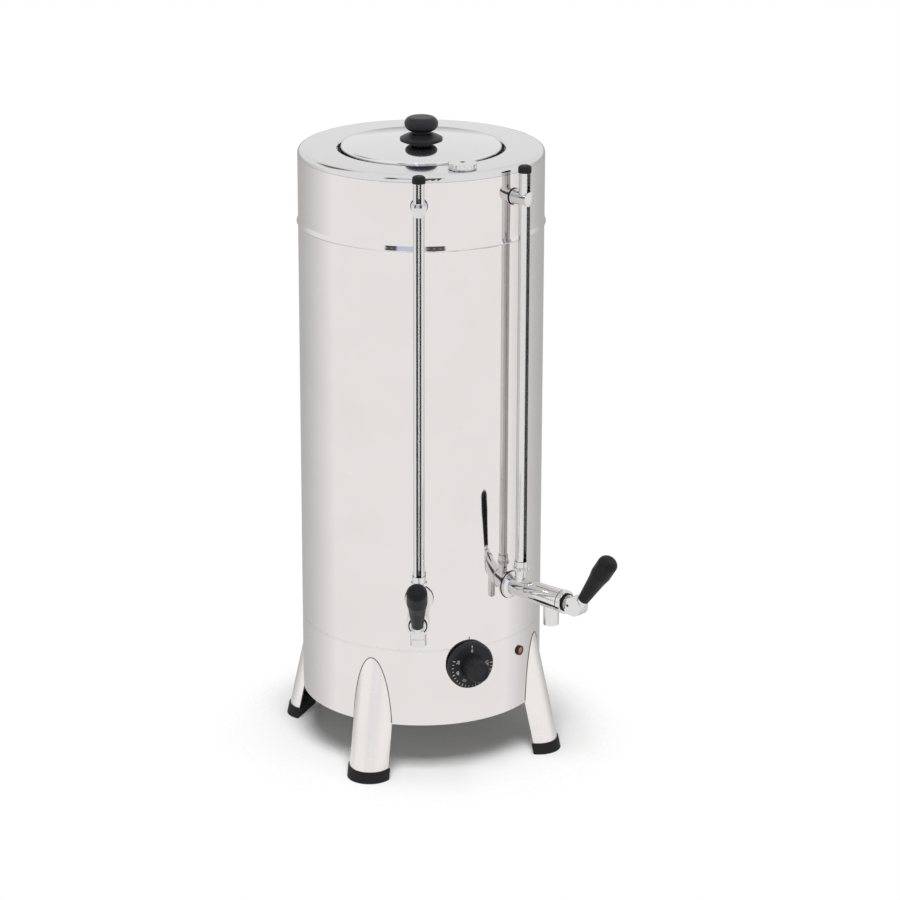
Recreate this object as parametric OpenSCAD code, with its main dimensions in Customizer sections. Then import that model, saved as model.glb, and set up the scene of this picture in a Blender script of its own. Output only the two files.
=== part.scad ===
// Two-tap coffee urn: a steel drum on four splayed legs, with a coffee pot hung in its mouth,
// a lever tap below each slotted level gauge, and the heater and thermostat in its base.
// Z is the axis of the drum, the floor is Z = 0 and the front of the urn faces -Y.

/* [Drum] */
// Outside diameter of the drum
drum_d = 260; // [252:1:300]
// Height of the drum from its lower edge to the deck
drum_h = 603; // [540:1:680]
// Height of the drum's lower edge above the floor
ground_gap = 60; // [50:1:80]
// Height of the base skirt
skirt_h = 84; // [80:1:110]
// Height of the collar between its bead and the deck's rolled edge
collar_h = 72.5; // [60:0.5:100]
// Thickness of the steel sheet
sheet = 1; // [0.8:0.1:1.4]
// Height of the lap where the shell slips into the skirt
lap_h = 7; // [5:0.5:9]
// Height of the joggle that forms the seam above the skirt
joggle_h = 2; // [1:0.5:4]
// Height of the pressed bead on the collar
bead_h = 5; // [3:0.5:8]
// How far the bead stands proud
bead_out = 1; // [0.5:0.1:1.5]
// Width of the skirt's hem, turned in below the base plate
hem_w = 12; // [10:0.5:18]
// Thickness of the base plate
plate_t = 1.2; // [1:0.1:2]
// Diameter of the vent holes in the base plate
vent_d = 8; // [5:0.5:10]
// Height of the tank floor above the seam
floor_rise = 6; // [5:0.5:14]
// Corner radius of the tank floor
floor_roll = 5; // [3:0.5:8]

/* [Deck and lid] */
// Diameter of the mouth in the deck
mouth_d = 176; // [160:1:182]
// Radius of the deck's rolled outer edge
deck_roll = 6; // [4:0.5:7]
// Height of the deck's rolled edge
deck_edge_h = 8; // [8:0.5:14]
// Radius of the lip rolled down round the mouth
lip_roll = 3; // [2:0.5:4]
// Depth of the lip round the mouth
lip_h = 5.8; // [5:0.2:9]
// Bevel at the lower edge of the deck, where it meets the collar
deck_bevel = 0.4; // [0.2:0.1:0.6]
// Width of the ledge that the lid rests on
ledge_w = 7.5; // [6:0.5:12]
// Gap between the lid and the mouth
lid_gap = 3.5; // [1:0.5:4]
// How far the lid's edge stands above the deck
lid_rise = 2.4; // [0:0.2:4]
// Height of the lid's dome above its edge
lid_dome = 5.6; // [3:0.2:12]
// Radius of the lid's rolled edge
lid_roll = 2.6; // [1.5:0.1:4]
// Height between the pot's bottom and the tap axis
pot_drop = 23; // [20:0.5:40]
// Corner radius of the pot's bottom
pot_roll = 12; // [6:1:25]
// Diameter of the knob's foot
knob_foot_d = 45; // [36:1:60]
// Height of the knob's foot
knob_foot_h = 7.5; // [6:0.5:12]
// Diameter of the knob's waist
knob_waist_d = 20; // [14:1:26]
// Height of the knob's waist
knob_waist_h = 1; // [0.5:0.5:8]
// Diameter of the knob's ball
knob_ball_d = 35.5; // [30:0.5:46]
// Height of the knob's ball
knob_ball_h = 15; // [12:0.5:22]
// Diameter of the knob's screw
knob_screw_d = 5; // [4:0.5:6]
// Diameter of the filler cap
filler_cap_d = 30; // [27:0.5:34]
// Height of the filler cap
filler_cap_h = 6.5; // [5:0.5:10]
// Outside diameter of the filler neck
filler_neck_d = 21; // [18:0.5:23]
// Diameter of the vent in the filler cap
filler_vent_d = 5; // [3:0.5:8]

/* [Legs] */
// Angle of each front leg from the front
leg_phi = 47; // [42:1:60]
// Angle of each back leg from the back
leg_back_phi = 45; // [36:1:60]
// Outside diameter of the leg's channel
leg_d = 46; // [40:1:54]
// Thickness of the leg's channel
leg_wall = 1.5; // [1:0.1:2.5]
// Half angle of the leg's channel
leg_arc = 78; // [70:1:88]
// Outward lean of the legs
leg_lean = 12.5; // [8:0.5:17]
// How far the leg's axis stands outside the drum at the floor
leg_out = 6; // [2:0.5:12]
// Height of the rubber foot
foot_h = 12; // [9:0.5:18]
// Thickness of the foot's sole
sole_t = 4; // [3:0.5:6]
// Thickness of the foot's wall
foot_wall = 1.3; // [1:0.1:3]

/* [Taps] */
// Angle of each tap from the front
tap_phi = 24; // [18:0.5:30]
// Height of the tap axis above the seam
tap_rise = 61.5; // [60:0.5:80]
// Diameter of the wall flange
flange_d = 29.5; // [27:0.5:34]
// Thickness of the wall flange
flange_t = 5; // [4:0.5:8]
// Diameter of the threaded tail
tail_d = 16; // [14:0.5:18]
// Length of the tail inside the drum
tail_l = 18; // [14:0.5:24]
// Diameter of the barrel
barrel_d = 20; // [19:0.5:24]
// Length of the barrel
barrel_l = 62.4; // [58:0.1:80]
// Bore of the inlet
inlet_d = 9; // [7:0.5:10]
// Bore of the valve chamber
chamber_d = 14; // [13:0.5:15]
// Outside diameter of the spout
spout_d = 17; // [15:0.5:18]
// Bore of the spout
spout_bore = 11; // [8:0.5:12]
// Distance of the spout behind the end of the barrel
spout_back = 10; // [9.5:0.5:13]
// Height of the spout below the tap axis
spout_drop = 29.5; // [24:0.5:40]
// Diameter of the bonnet's ring
bonnet_d = 23.5; // [22:0.5:28]
// Length of the bonnet's ring
bonnet_l = 9.2; // [7:0.1:12]
// Diameter of the bonnet's neck
bonnet_neck_d = 17; // [14:0.5:20]
// Length of the bonnet's neck
bonnet_neck_l = 4.1; // [3:0.1:6]
// Length of the bonnet's spigot inside the barrel
spigot_l = 3; // [2:0.5:4]
// Diameter of the plunger's stem
stem_d = 6; // [5:0.5:7]
// Thickness of the plunger's head
plunger_t = 4; // [3:0.5:5]
// Thickness of the seat seal
seal_t = 3.5; // [2.5:0.5:4]
// Wire diameter of the return spring
wire_d = 1.1; // [0.8:0.1:1.2]
// Turns of the return spring
spring_turns = 5; // [4:1:6]
// Lift of the plunger
lift = 4; // [3:0.1:5]
// Travel of the lever
pull = 55; // [40:1:60]

/* [Levers] */
// Distance of the pivot pin from the bonnet's face
pin_out = 4.8; // [4.5:0.1:6]
// Diameter of the pivot pin
pin_d = 3; // [2.5:0.1:3.5]
// Radius of the lever's head
head_r = 10.3; // [9:0.1:12]
// Distance of the head's centre from the pin
head_out = 7; // [6:0.1:8]
// Width of the lever's head
head_w = 13.5; // [12:0.5:16]
// Thickness of the stem's tongue in the head
tongue_t = 5; // [4:0.1:5]
// Angle of the handle above the tap axis
handle_tilt = 56; // [40:1:75]
// Distance of the handle's axis from the pin
handle_out = 10; // [8:0.1:11]
// Distance of the handle's end from the tap axis
handle_start = 11.5; // [10.5:0.1:14]
// Length of the handle
handle_l = 63.5; // [55:0.5:80]
// Length of the handle's tapered grip
grip_l = 30; // [24:0.5:36]
// Diameter where the grip meets the bulb
grip_end_d = 18; // [15:0.5:19]
// Diameter of the handle's neck
handle_neck_d = 12.5; // [11:0.1:14]
// Diameter of the handle's bulb
handle_bulb_d = 21.5; // [18:0.5:26]

/* [Gauges] */
// Distance of the gauge from the wall of the drum
gauge_out = 14.5; // [14:0.5:20]
// Outside diameter of the guard tube
guard_d = 12; // [11:0.1:13]
// Thickness of the guard tube
guard_wall = 1; // [0.8:0.1:1.2]
// Width of the slot in the guard tube
slot_w = 5.3; // [4:0.1:6]
// Outside diameter of the glass
glass_d = 8; // [7:0.1:8.4]
// Thickness of the glass
glass_wall = 1.2; // [1:0.1:1.5]
// Height of the tee above the tap axis
tee_h = 20.5; // [18:0.5:28]
// Outside diameter of the tee
tee_d = 12.5; // [11.5:0.1:14]
// Height of the collar nut
nut_h = 10; // [8:0.5:14]
// Diameter of the collar nut's rim
nut_d = 16.5; // [15.5:0.5:19]
// Height of the gauge above the deck
gauge_rise = 3; // [0:0.1:10]
// Diameter of the rubber cap
cap_d = 13.8; // [13.6:0.1:16]
// Height of the rubber cap
cap_h = 7.5; // [6:0.5:12]
// Radius of the rubber cap's upper edge
cap_roll = 3; // [1.5:0.1:3.5]
// Depth of the support post below the deck's edge
post_drop = 24; // [18:0.5:36]
// Diameter of the support post
post_d = 15; // [14.5:0.1:17]
// Thickness of the post's end in front of the guard tube
post_end = 2.4; // [2.2:0.1:4]
// Height of the dome on the post's end
post_dome = 1.8; // [0.8:0.1:1.8]

/* [Base fittings] */
// Height of the dial above the drum's lower edge
dial_h = 67; // [60:1:68]
// Diameter of the dial
dial_d = 52; // [48:1:60]
// Thickness of the dial's skirt
dial_t = 7; // [5:0.5:10]
// Diameter of the dial's grip
grip_d = 25; // [20:0.5:32]
// Height of the dial's grip
grip_h = 21; // [12:0.5:26]
// Diameter of the recess in the grip's face
grip_recess_d = 18; // [12:0.5:18]
// Gap between the dial and the skirt
dial_gap = 1; // [0.6:0.1:2]
// Diameter of the dial's shaft
shaft_d = 6; // [5:0.1:6.4]
// Width of the thermostat's housing
thermostat_w = 34; // [28:1:36]
// Depth of the thermostat's housing
thermostat_t = 25; // [20:1:34]
// Angle of the pilot lamp from the front
pilot_phi = 31; // [28:1:34]
// Height of the pilot lamp above the drum's lower edge
pilot_h = 65; // [58:1:68]
// Diameter of the pilot lamp's bezel
pilot_d = 12; // [10:0.5:16]
// Height of the cord gland above the drum's lower edge
gland_h = 34; // [26:1:50]
// Diameter of the cord gland
gland_d = 22; // [18:1:28]
// Diameter of the cord that the gland takes
cord_d = 8; // [6:0.5:9]
// Diameter of the heating element's tube
element_d = 8.5; // [6:0.5:10]
// Gap between the heating element and the thermostat's bulb
bulb_gap = 8; // [3:0.5:12]
// Height of the heating element above the tank floor
element_h = 26; // [24:1:34]

/* [Clearances] */
// Gap between lapped or welded sheets
lap_gap = 0.1; // [0.05:0.01:0.2]
// Gap between pieces that lift off or roll past each other
lift_gap = 0.3; // [0.2:0.05:0.5]
// Radial gap of a pin or shaft that turns or slides
run_gap = 0.05; // [0.03:0.01:0.1]
// Gap round the lever's pin where it is pressed into the stem
press_gap = 0.01; // [0.01:0.01:0.02]
// Radial gap of a hole round a fixed piece
hole_gap = 0.2; // [0.1:0.05:0.3]

/* [Hidden] */
$fn = 96;
eps = 0.5;
drum_r = drum_d / 2;
drum_in = drum_r - sheet;
wall_cut = drum_in - 5;
lap_r = drum_in - lap_gap;
floor_r = lap_r - sheet - lap_gap;
seam_z = ground_gap + skirt_h;
lap_z = seam_z - lap_h;
floor_z = seam_z + floor_rise;
screw_d = 4;
screw_l = 8;
screw_r = drum_in - hem_w / 2;
screw_count = 4;
deck_z = ground_gap + drum_h;
deck_edge_z = deck_z - deck_edge_h;
collar_z = deck_edge_z - collar_h;
mouth_r = mouth_d / 2;
rim_z = deck_z - lip_h;
pot_r = mouth_r - ledge_w;
lid_r = mouth_r - lid_gap;
lid_z = deck_z + lid_rise;
lid_top = lid_z + lid_dome;
lid_curve_r = (pow(lid_r - lid_roll, 2) + pow(lid_dome, 2)) / (2 * lid_dome);
lid_foot_z = rim_z + lift_gap;
knob_rim_h = 1;
knob_screw_in = knob_foot_h + knob_waist_h;
knob_screw_head = 3;
filler_r = (mouth_r + lip_roll + drum_r - deck_roll) / 2;
filler_wall = 1.5;
filler_flange_t = 1;
filler_cap_t = 1.5;
filler_neck_up = filler_cap_h - filler_cap_t - lift_gap;
filler_depth = 14;
leg_r = leg_d / 2;
leg_axis_r = drum_r + leg_out;
foot_r = leg_r + foot_wall + lap_gap;
tap_z = seam_z + tap_rise;
pot_z = tap_z + pot_drop;
outlet_bend = tail_d;
outlet_bore = tail_d - 5;
barrel_x0 = drum_r + flange_t;
barrel_x1 = barrel_x0 + barrel_l;
tail_x = drum_r - tail_l;
spout_x = barrel_x1 - spout_back;
seat_x = spout_x - spout_bore / 2 - seal_t - plunger_t;
head_x = seat_x + seal_t;
spring_x0 = head_x + plunger_t + lift_gap;
spring_x1 = barrel_x1 - spigot_l - lift_gap;
plunger_d = chamber_d - 1.6;
spring_r = (plunger_d - wire_d) / 2 - 0.5;
spring_sides = 6;
spring_rings = 8;
bonnet_x1 = barrel_x1 + bonnet_l + bonnet_neck_l;
pin_x = bonnet_x1 + pin_out;
cam_start = pin_out - lift_gap;
lift_rate = lift / (pull * PI / 180);
tongue_gap = 0.2;
stud_d = 6;
stud_l = 18;
gauge_r = drum_r + gauge_out;
tee_top = tap_z + tee_h;
glass_seat = 6;
nut_ledge = 2;
gauge_top = deck_z + gauge_rise;
guard_top = gauge_top - 2;
post_z = deck_edge_z - post_drop;
post_x = gauge_r + guard_d / 2 + post_end;
post_tail_d = 8;
post_tail_l = 12;
post_foot_t = 3.5;
dial_z = ground_gap + dial_h;
dial_x = drum_r + dial_gap;
dial_face_x = dial_x + dial_t + grip_h;
nose_d = shaft_d + 4;
thermostat_x = floor_r - sheet - 3;
shaft_x = thermostat_x - thermostat_t / 2;
pilot_z = ground_gap + pilot_h;
pilot_out = 2.2;
pilot_stem_d = pilot_d - 2.5;
pilot_stem_l = 18;
pilot_stem_x = drum_r - pilot_stem_l;
pilot_lens_x = pilot_stem_x + 3;
pilot_bore = pilot_d - 4;
gland_z = ground_gap + gland_h;
gland_stem_d = gland_d - 6;
gland_stem_l = 8;
gland_hex_t = 4;
gland_out = 13;
element_z = floor_z + element_h;
element_gap = 25;
element_bend = 12;
element_tail = 24;
bulb_d = 6.5;
bulb_l = 60;
bulb_lift = 10;
capillary_d = 2;
capillary_run = 12;
capillary_x = shaft_x - thermostat_t / 2 - capillary_run;
element_r = capillary_x - (bulb_d + element_d) / 2 - bulb_gap;

// Places its children in the upright plane at angle phi from the front: +X points away from the drum.
module radial(phi, z = 0) {
    rotate([0, 0, phi - 90]) translate([0, 0, z]) children();
}

// Round bar along +X between two distances from the drum's axis.
module bar(x0, x1, d) {
    translate([x0, 0, 0]) rotate([0, 90, 0]) cylinder(h = x1 - x0, d = d);
}

// Tapered bar along +X.
module taper(x0, x1, d0, d1) {
    translate([x0, 0, 0]) rotate([0, 90, 0]) cylinder(h = x1 - x0, d1 = d0, d2 = d1);
}

// Round bar along +X with a domed end.
module domed_bar(x0, x1, d, dome) {
    dome_r = (pow(d / 2, 2) + pow(dome, 2)) / (2 * dome);
    translate([x0, 0, 0]) rotate([0, 90, 0]) rotate_extrude() intersection() {
        translate([0, x1 - x0 - dome_r]) circle(r = dome_r);
        square([d / 2, x1 - x0]);
    }
}

// Hexagonal nut along +X with its bore.
module hex_nut(x0, x1, flats, bore) {
    difference() {
        translate([x0, 0, 0]) rotate([0, 90, 0]) cylinder(h = x1 - x0, d = flats / cos(30), $fn = 6);
        bar(x0 - eps, x1 + eps, bore);
    }
}

// Everything inside a drum of the given radius, to seat pieces on its curved wall.
module drum_core(r) {
    translate([0, 0, -eps]) cylinder(h = deck_z + 2 * eps, r = r, $fn = 720);
}

// Quarter of a disc, between +X and +Y.
module quarter_2d(r) {
    intersection() {
        circle(r = r);
        square(r);
    }
}

// Half section of a flat-topped round form with a rolled upper edge.
module crown_2d(r, z0, z1, roll) {
    translate([0, z0]) square([r, z1 - roll - z0]);
    translate([0, z0]) square([r - roll, z1 - z0]);
    translate([r - roll, z1 - roll]) quarter_2d(roll);
}

// Half section of a round cup with a rolled lower edge.
module cup_2d(r, z0, z1, roll) {
    translate([0, z0 + roll]) square([r, z1 - z0 - roll]);
    translate([0, z0]) square([r - roll, z1 - z0]);
    translate([r - roll, z0 + roll]) mirror([0, 1]) quarter_2d(roll);
}

// Half section of the deck: a flat ring rolled down at its mouth and at its outer edge.
module deck_2d(inset) {
    mouth = mouth_r + inset;
    edge = drum_r - inset;
    top = deck_z - inset;
    lip = lip_roll - inset;
    roll = deck_roll - inset;
    below = inset > 0 ? eps : 0;
    translate([mouth, rim_z - below]) square([lip, top - lip - rim_z + below]);
    translate([mouth + lip, top - lip]) mirror([1, 0]) quarter_2d(lip);
    translate([mouth + lip, rim_z - below]) square([edge - roll - mouth - lip, top - rim_z + below]);
    translate([edge - roll, top - roll]) quarter_2d(roll);
    translate([edge - roll, deck_edge_z - below]) square([roll, top - roll - deck_edge_z + below]);
}

// Lower drum that carries the legs, the dial and the pilot lamp, with a hem turned in at its foot.
module base_skirt() {
    color("gainsboro") difference() {
        rotate_extrude() {
            translate([drum_in, ground_gap]) square([sheet, skirt_h]);
            translate([drum_r - hem_w, ground_gap]) square([hem_w, sheet]);
        }
        radial(0, dial_z) bar(wall_cut, drum_r + eps, nose_d + 2 * hole_gap);
        radial(pilot_phi, pilot_z) bar(wall_cut, drum_r + eps, pilot_stem_d + 2 * hole_gap);
        radial(180, gland_z) bar(wall_cut, drum_r + eps, gland_stem_d + 2 * hole_gap);
        screw_places() cylinder(h = 4 * sheet, d = screw_d + 2 * hole_gap, center = true);
    }
}

// Places of the base plate's screws on the skirt's hem.
module screw_places() {
    for (i = [0 : screw_count - 1])
        rotate([0, 0, i * 360 / screw_count]) translate([screw_r, 0, ground_gap]) children();
}

// Bottom cover, lying on the skirt's hem, with two rings of vent holes.
module base_plate() {
    plate_z = ground_gap + sheet;
    vents = 12;
    color("silver") difference() {
        translate([0, 0, plate_z]) cylinder(h = plate_t, r = drum_in - 2 * lift_gap);
        screw_places() cylinder(h = 8 * sheet, d = screw_d + 2 * hole_gap, center = true);
        for (i = [0 : vents - 1], ring = [0.45, 0.7])
            rotate([0, 0, i * 360 / vents]) translate([ring * drum_r, 0, plate_z - eps])
                cylinder(h = plate_t + 2 * eps, d = vent_d);
    }
}

// Four pan-head screws driven up through the hem into the base plate.
module base_screws() {
    head_h = 2;
    color("silver") screw_places() {
        translate([0, 0, -head_h]) cylinder(h = head_h, d1 = screw_d + 2, d2 = 2 * screw_d);
        cylinder(h = screw_l, d = screw_d);
    }
}

// Floor of the water tank, an upturned dish welded into the shell's lap.
module tank_floor() {
    color("silver") difference() {
        rotate_extrude() difference() {
            crown_2d(floor_r, lap_z, floor_z, floor_roll);
            crown_2d(floor_r - sheet, lap_z - eps, floor_z - sheet, floor_roll - sheet);
        }
        floor_glands() cylinder(h = 4 * sheet, d = element_d + 2 * hole_gap, center = true);
        bulb_place() cylinder(h = 4 * sheet, d = capillary_d + 2 * hole_gap, center = true);
    }
}

// Places of the heating element's two ends on the tank floor.
module floor_glands() {
    for (side = [-1, 1])
        rotate([0, 0, 90 + side * element_gap]) translate([element_r, 0, 0])
            rotate([0, 0, -side * 90]) translate([element_bend, 0, floor_z - sheet / 2]) children();
}

// Place of the thermostat's capillary on the tank floor.
module bulb_place() {
    radial(0, floor_z - sheet / 2) translate([capillary_x, 0, 0]) children();
}

// Wall of the water tank, joggled at its foot to slip into the skirt.
module outer_shell() {
    color("whitesmoke") difference() {
        rotate_extrude() polygon([
            [lap_r - sheet, lap_z], [lap_r, lap_z], [lap_r, seam_z], [drum_r, seam_z + joggle_h],
            [drum_r, collar_z], [drum_in, collar_z], [drum_in, seam_z + joggle_h], [lap_r - sheet, seam_z]
        ]);
        for (side = [-1, 1])
            radial(side * tap_phi, tap_z) bar(wall_cut, drum_r + eps, tail_d + 2 * hole_gap);
    }
}

// Upper band of the drum, with a half-round bead pressed into its lower edge.
module top_collar() {
    bead_r = (pow(bead_h / 2, 2) + pow(bead_out, 2)) / (2 * bead_out);
    color("whitesmoke") difference() {
        rotate_extrude() {
            translate([drum_in, collar_z]) square([sheet, collar_h]);
            intersection() {
                translate([drum_r + bead_out - bead_r, collar_z + bead_h / 2]) circle(r = bead_r);
                translate([drum_in, collar_z]) square([sheet + bead_out, bead_h]);
            }
        }
        for (side = [-1, 1])
            radial(side * tap_phi, post_z) bar(wall_cut, drum_r + eps, post_tail_d + 2 * hole_gap);
    }
}

// Flat top of the drum, rolled down at its edge and round the mouth.
module deck_ring() {
    color("whitesmoke") difference() {
        rotate_extrude() difference() {
            deck_2d(0);
            deck_2d(sheet);
            translate([drum_r, deck_edge_z]) rotate(45) square(deck_bevel * sqrt(2), center = true);
        }
        translate([0, -filler_r, deck_z - 4 * sheet])
            cylinder(h = 8 * sheet, d = filler_neck_d + 2 * hole_gap);
    }
}

// Coffee pot, hung by its flange below the lip of the mouth.
module coffee_pot() {
    color("silver") rotate_extrude() difference() {
        union() {
            cup_2d(pot_r, pot_z, rim_z, pot_roll);
            translate([0, rim_z - sheet]) square([mouth_r + 2 * sheet, sheet]);
        }
        cup_2d(pot_r - sheet, pot_z + sheet, rim_z + eps, pot_roll - sheet);
        translate([0, pot_z - eps]) square([outlet_bore / 2, 4 * sheet]);
    }
}

// Pipe from the bottom of the pot to the tail of the right tap.
module coffee_outlet_pipe() {
    color("silver") radial(tap_phi, tap_z) difference() {
        outlet_run(tail_d, 0);
        outlet_run(outlet_bore, eps);
    }
}

// Run of the outlet pipe: down from the pot, round a bend and out to the tap.
module outlet_run(d, over) {
    translate([0, 0, outlet_bend]) cylinder(h = pot_drop - outlet_bend + over, d = d);
    translate([outlet_bend, 0, outlet_bend]) rotate([90, 180, 0])
        rotate_extrude(angle = 90) translate([outlet_bend, 0]) circle(d = d);
    bar(outlet_bend, tail_x + over, d);
}

// Ring-shaped immersion heater, its two ends bent down through the tank floor.
module heating_element() {
    end_l = element_h - element_bend + element_tail;
    ferrule = 5;
    color("dimgray") translate([0, 0, element_z]) {
        rotate([0, 0, 90 + element_gap]) rotate_extrude(angle = 360 - 2 * element_gap)
            translate([element_r, 0]) circle(d = element_d);
        for (side = [-1, 1])
            rotate([0, 0, 90 + side * element_gap]) translate([element_r, 0, 0])
                rotate([0, 0, -side * 90]) {
                    bar(-ferrule / 2, ferrule / 2, element_d + 1.2);
                    translate([0, 0, -element_bend]) rotate([90, 0, 0]) rotate_extrude(angle = 90)
                        translate([element_bend, 0]) circle(d = element_d);
                    translate([element_bend, 0, -element_bend - end_l]) cylinder(h = end_l, d = element_d);
                }
    }
}

// Nuts above and below the tank floor on the heater's ends and on the capillary.
module gland_nuts() {
    nut_t = 6;
    rise = nut_t / 2 + sheet / 2;
    color("peru") for (side = [-1, 1]) {
        floor_glands() translate([0, 0, side * rise]) difference() {
            cylinder(h = nut_t, d = 2 * element_d, $fn = 6, center = true);
            cylinder(h = nut_t + eps, d = element_d + 2 * hole_gap, center = true);
        }
        bulb_place() translate([0, 0, side * rise]) difference() {
            cylinder(h = nut_t, d = 5 * capillary_d, $fn = 6, center = true);
            cylinder(h = nut_t + eps, d = capillary_d + 2 * hole_gap, center = true);
        }
    }
}

// Thermostat behind the skirt, its threaded nose standing through the wall.
module thermostat_body() {
    nose_x = drum_r + dial_gap / 2;
    color("ivory") radial(0, dial_z) difference() {
        union() {
            translate([thermostat_x - thermostat_t, -thermostat_w / 2, -thermostat_w / 2])
                cube([thermostat_t, thermostat_w, thermostat_w]);
            bar(thermostat_x - eps, nose_x, nose_d);
        }
        bar(shaft_x - lift_gap, nose_x + eps, shaft_d + 2 * run_gap);
    }
}

// Capillary from the thermostat up through the tank floor to the bulb in the water.
module thermostat_bulb() {
    bend = 8;
    start_x = thermostat_x - thermostat_t;
    bulb_z = floor_z + bulb_lift - dial_z;
    color("peru") radial(0, dial_z) {
        bar(capillary_x + bend, start_x, capillary_d);
        translate([capillary_x + bend, 0, bend]) rotate([90, 180, 0])
            rotate_extrude(angle = 90) translate([bend, 0]) circle(d = capillary_d);
        translate([capillary_x, 0, bend]) cylinder(h = bulb_z - bend + eps, d = capillary_d);
        translate([capillary_x, 0, bulb_z]) cylinder(h = bulb_l, d = bulb_d);
    }
}

// Shaft that the dial turns, running in the thermostat's nose.
module dial_shaft() {
    color("silver") radial(0, dial_z) bar(shaft_x, dial_face_x - 6, shaft_d);
}

// Thermostat dial: a flared skirt for the scale and a fluted grip with a plain recessed face.
module dial() {
    flutes = 18;
    color("#202022") radial(0, dial_z) difference() {
        union() {
            bar(dial_x, dial_x + dial_t / 2, dial_d);
            taper(dial_x + dial_t / 2, dial_x + dial_t, dial_d, dial_d - 4);
            taper(dial_x + dial_t - eps, dial_face_x - 1.5, grip_d, grip_d - 1);
            taper(dial_face_x - 1.5, dial_face_x, grip_d - 1, grip_d - 4);
        }
        bar(dial_x - eps, dial_face_x - 6, shaft_d + 2 * lap_gap);
        bar(dial_face_x - 0.6, dial_face_x + eps, grip_recess_d);
        for (i = [0 : flutes - 1])
            rotate([i * 360 / flutes, 0, 0]) translate([0, 0, grip_d / 2 + 0.9])
                bar(dial_x + dial_t + 1, dial_face_x + eps, 3);
    }
}

// Bezel of the pilot lamp, its barrel standing through the skirt.
module pilot_bezel() {
    color("#1a1a1a") radial(pilot_phi) difference() {
        translate([0, 0, pilot_z]) {
            taper(drum_r - pilot_out, drum_r + pilot_out, pilot_d, pilot_d - 1.6);
            bar(pilot_stem_x, drum_r, pilot_stem_d);
        }
        translate([0, 0, pilot_z]) bar(pilot_lens_x - 1, drum_r + 2 * pilot_out, pilot_bore);
        difference() {
            drum_core(drum_r + lap_gap / 2);
            translate([0, 0, pilot_z]) bar(0, drum_r + pilot_out, pilot_stem_d + eps / 10);
        }
    }
}

// Domed amber lens held in the bezel.
module pilot_lens() {
    lens_d = pilot_bore - 2 * lap_gap;
    dome_x = drum_r + pilot_out * 0.7;
    color("darkorange") radial(pilot_phi, pilot_z) {
        bar(pilot_lens_x, dome_x, lens_d);
        taper(dome_x, dome_x + 1, lens_d, lens_d * 0.7);
    }
}

// Cord gland at the back of the skirt: a shouldered bush with a domed nut.
module cord_gland() {
    color("#242424") radial(180) difference() {
        translate([0, 0, gland_z]) {
            bar(drum_in - gland_stem_l, drum_r + 1, gland_stem_d);
            translate([drum_r - 1, 0, 0]) rotate([0, 90, 0])
                cylinder(h = gland_hex_t + 1, d = gland_d / cos(30), $fn = 6);
            taper(drum_r + gland_hex_t, drum_r + gland_out, gland_d - 1, gland_d - 7);
        }
        translate([0, 0, gland_z]) bar(wall_cut - gland_stem_l, drum_r + gland_out + eps, cord_d);
        difference() {
            drum_core(drum_r + lap_gap);
            translate([0, 0, gland_z]) bar(0, drum_r + 2, gland_stem_d + eps / 10);
        }
    }
}

// Filler neck, a flanged tube set into the front of the deck.
module filler_neck() {
    color("silver") translate([0, -filler_r, deck_z]) difference() {
        union() {
            translate([0, 0, -filler_depth]) cylinder(h = filler_depth + filler_neck_up, d = filler_neck_d);
            cylinder(h = filler_flange_t, d = filler_neck_d + 5);
        }
        translate([0, 0, -filler_depth - eps])
            cylinder(h = filler_depth + filler_neck_up + 2 * eps, d = filler_neck_d - 2 * filler_wall);
    }
}

// Filler cap with a fluted rim and a small vent, slipped over the neck.
module filler_cap() {
    flutes = 20;
    foot = filler_flange_t + lift_gap;
    color("silver") translate([0, -filler_r, deck_z]) difference() {
        translate([0, 0, foot]) rotate_extrude()
            crown_2d(filler_cap_d / 2, 0, filler_cap_h - foot, 1);
        translate([0, 0, foot - eps])
            cylinder(h = filler_neck_up - foot + eps + lift_gap, d = filler_neck_d + 2 * lift_gap);
        cylinder(h = filler_cap_h + eps, d = filler_vent_d);
        for (i = [0 : flutes - 1])
            rotate([0, 0, i * 360 / flutes]) translate([filler_cap_d / 2 + 1, 0, foot - eps])
                cylinder(h = filler_cap_h - foot - 1, d = 3);
    }
}

// Half section of the lid's outside, or of its inside when set in by the sheet.
module lid_2d(inset) {
    edge_z = lid_z - inset;
    foot_z = lid_foot_z - (inset > 0 ? eps : 0);
    crown_2d(lid_r - inset, foot_z, edge_z, lid_roll - inset);
    intersection() {
        translate([0, lid_top - lid_curve_r]) circle(r = lid_curve_r - inset, $fn = 720);
        translate([0, edge_z - eps]) square([lid_r - lid_roll, lid_dome + 2 * eps]);
    }
}

// Lid: a low dome rolled down at its edge, resting on the pot's ledge.
module lid() {
    color("whitesmoke") rotate_extrude() difference() {
        lid_2d(0);
        lid_2d(sheet);
        translate([0, lid_top - 4 * sheet]) square([knob_screw_d / 2 + hole_gap, 8 * sheet]);
    }
}

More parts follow.
